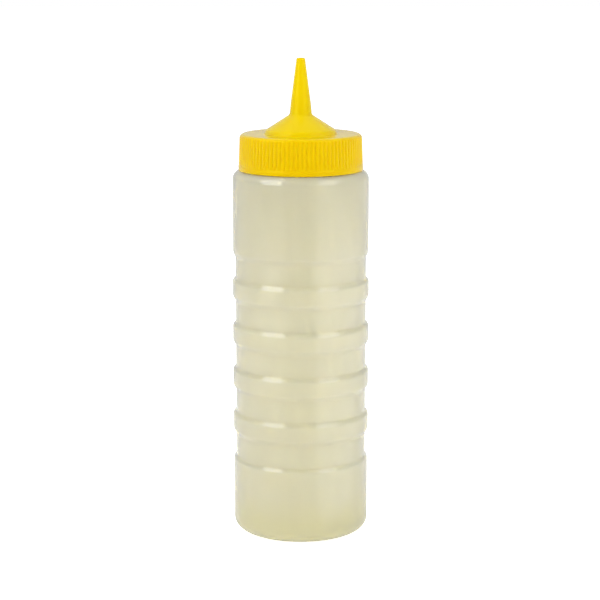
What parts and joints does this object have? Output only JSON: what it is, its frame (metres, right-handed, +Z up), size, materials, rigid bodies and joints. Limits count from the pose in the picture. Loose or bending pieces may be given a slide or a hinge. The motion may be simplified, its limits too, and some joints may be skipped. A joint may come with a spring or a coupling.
{
  "type": "sauce squeeze bottle",
  "caption": "Tall round translucent squeeze bottle with a ringed grip and soft shoulder, closed by a ribbed screw cap whose low dome rises to a long hollow cone nozzle.",
  "frame": {"origin": "centre of the base, on the surface that the bottle stands on", "axes": "+Z up the axis of the bottle, towards the nozzle; the bottle is round about Z, so X and Y are alike"},
  "size_m": [0.071, 0.071, 0.2475],
  "materials": {
    "natural_plastic": "soft translucent low-density polyethylene, undyed and slightly yellow, with a satin skin",
    "yellow_plastic": "opaque yellow polyethylene, satin to semi-gloss"
  },
  "bodies": {
    "root": {"bottle": "natural_plastic", "cap": "yellow_plastic"}
  },
  "joints": []
}
